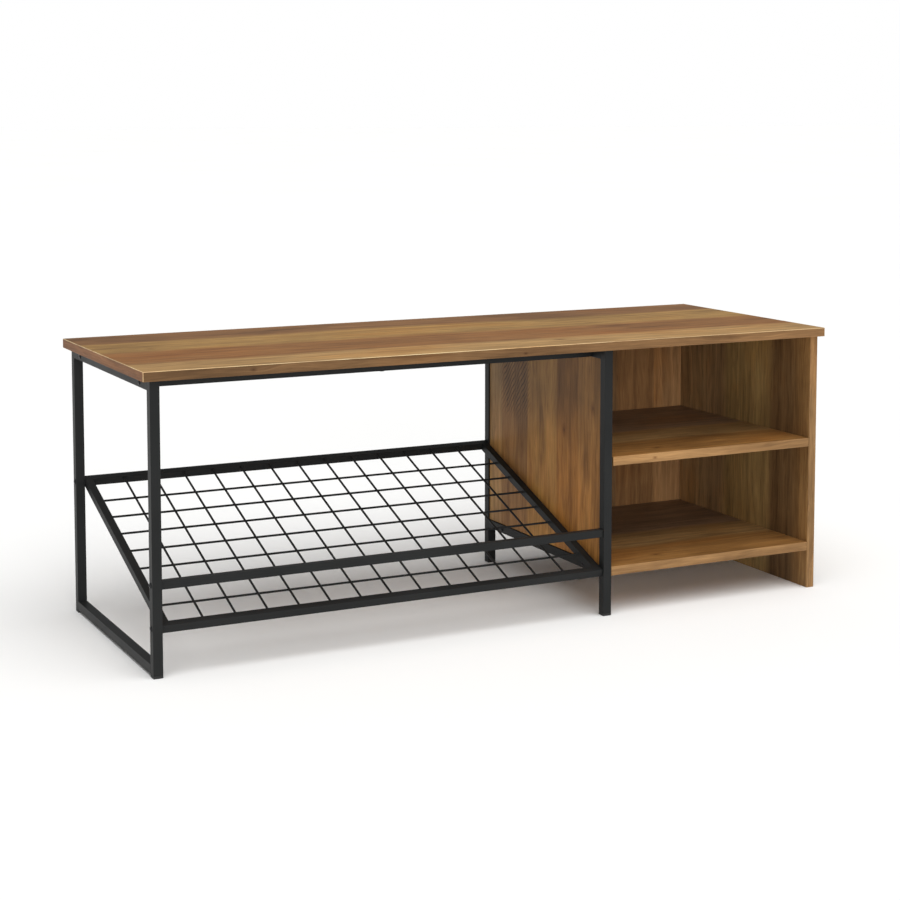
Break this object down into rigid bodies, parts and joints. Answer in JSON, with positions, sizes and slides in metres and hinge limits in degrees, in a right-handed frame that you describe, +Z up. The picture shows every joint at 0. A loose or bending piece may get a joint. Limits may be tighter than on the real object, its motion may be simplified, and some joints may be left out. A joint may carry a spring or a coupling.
{
  "type": "entryway bench",
  "caption": "Long entryway bench: board seat on black square-tube frames, a sloped wire shoe rack with a stop bar, and a two-level open cubby.",
  "frame": {"origin": "middle of the bench's footprint, on the floor", "axes": "+X along the bench towards the cubby, -Y towards the front, +Z up"},
  "size_m": [1.219, 0.438, 0.457],
  "materials": {
    "oak_laminate": "wood-grain paper laminate on board, satin, rustic oak planks",
    "black_powder_coat": "fine-texture black powder coat, satin",
    "black_plastic": "matte moulded plastic",
    "black_oxide": "black fasteners, satin"
  },
  "bodies": {
    "root": {"back_panel": "oak_laminate", "bottom_shelf": "oak_laminate", "divider_panel": "oak_laminate", "front_seat_screw": "black_oxide", "front_top_rail": "black_powder_coat", "left_bar_bolt": "black_oxide", "left_bottom_rail": "black_powder_coat", "left_front_foot": "black_plastic", "left_front_leg": "black_powder_coat", "left_front_rail_bolt": "black_oxide", "left_rack_front_bolt": "black_oxide", "left_rack_rear_bolt": "black_oxide", "left_rear_foot": "black_plastic", "left_rear_leg": "black_powder_coat", "left_rear_rail_bolt": "black_oxide", "left_top_rail": "black_powder_coat", "middle_bar_bolt": "black_oxide", "middle_front_foot": "black_plastic", "middle_front_leg": "black_powder_coat", "middle_front_rail_bolt": "black_oxide", "middle_lower_rail": "black_powder_coat", "middle_rack_front_bolt": "black_oxide", "middle_rack_rear_bolt": "black_oxide", "middle_rear_foot": "black_plastic", "middle_rear_leg": "black_powder_coat", "middle_rear_rail_bolt": "black_oxide", "middle_shelf": "oak_laminate", "middle_top_rail": "black_powder_coat", "rack_cross_wire_01": "black_powder_coat", "rack_cross_wire_02": "black_powder_coat", "rack_cross_wire_03": "black_powder_coat", "rack_cross_wire_04": "black_powder_coat", "rack_cross_wire_05": "black_powder_coat", "rack_cross_wire_06": "black_powder_coat", "rack_cross_wire_07": "black_powder_coat", "rack_cross_wire_08": "black_powder_coat", "rack_cross_wire_09": "black_powder_coat", "rack_cross_wire_10": "black_powder_coat", "rack_cross_wire_11": "black_powder_coat", "rack_cross_wire_12": "black_powder_coat", "rack_cross_wire_13": "black_powder_coat", "rack_front_rail": "black_powder_coat", "rack_left_rail": "black_powder_coat", "rack_long_wire_1": "black_powder_coat", "rack_long_wire_2": "black_powder_coat", "rack_long_wire_3": "black_powder_coat", "rack_long_wire_4": "black_powder_coat", "rack_long_wire_5": "black_powder_coat", "rack_long_wire_6": "black_powder_coat", "rack_long_wire_7": "black_powder_coat", "rack_rear_rail": "black_powder_coat", "rack_right_rail": "black_powder_coat", "rear_seat_screw": "black_oxide", "rear_top_rail": "black_powder_coat", "right_panel": "oak_laminate", "shelf_front_bolt": "black_oxide", "shelf_rear_bolt": "black_oxide", "stop_bar": "black_powder_coat", "top_panel": "oak_laminate"}
  },
  "joints": []
}
